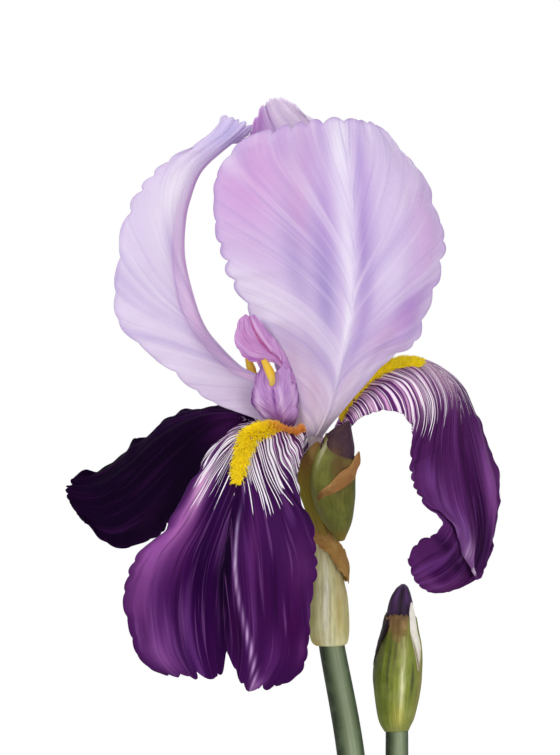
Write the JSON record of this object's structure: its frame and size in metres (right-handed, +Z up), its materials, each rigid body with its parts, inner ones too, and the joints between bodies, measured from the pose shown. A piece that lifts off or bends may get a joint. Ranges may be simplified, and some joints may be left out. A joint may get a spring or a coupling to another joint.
{
  "type": "irises in a vase",
  "caption": "Cut bearded iris, an open lilac and purple bloom with a closed bud on a second stem, standing in a plain glazed bottle vase.",
  "frame": {"origin": "centre of the vase's underside, on the surface it stands on", "axes": "+Z up; -Y towards the open face of the bloom, the side it is seen from; +X to the right as seen from there"},
  "size_m": [0.131, 0.0889, 0.3847],
  "materials": {
    "glazed_stoneware": "gloss",
    "stem_green": "satin",
    "spathe_green": "satin",
    "bud_green": "satin",
    "papery_bract": "matte",
    "standard_lilac": "satin",
    "fall_purple": "satin",
    "furled_petal": "satin",
    "beard_yellow": "matte",
    "style_mauve": "satin",
    "tube_green": "satin",
    "stamen_cream": "matte"
  },
  "bodies": {
    "root": {"vase": "glazed_stoneware", "flower_stem": "stem_green", "bud_stem": "stem_green", "perianth_tube": "tube_green", "spathe": "spathe_green", "side_bud": "bud_green", "side_bud_tip": "furled_petal", "bud_bract": "papery_bract", "tube_bract": "bud_green", "front_standard": "standard_lilac", "left_standard": "standard_lilac", "back_standard": "standard_lilac", "front_fall": "fall_purple", "left_fall": "fall_purple", "right_fall": "fall_purple", "front_beard": "beard_yellow", "left_beard": "beard_yellow", "right_beard": "beard_yellow", "front_style_arm": "style_mauve", "left_style_arm": "style_mauve", "right_style_arm": "style_mauve", "front_stamen": "stamen_cream", "left_stamen": "stamen_cream", "right_stamen": "stamen_cream", "bud_spathe": "bud_green", "bud_petals": "furled_petal"}
  },
  "joints": []
}
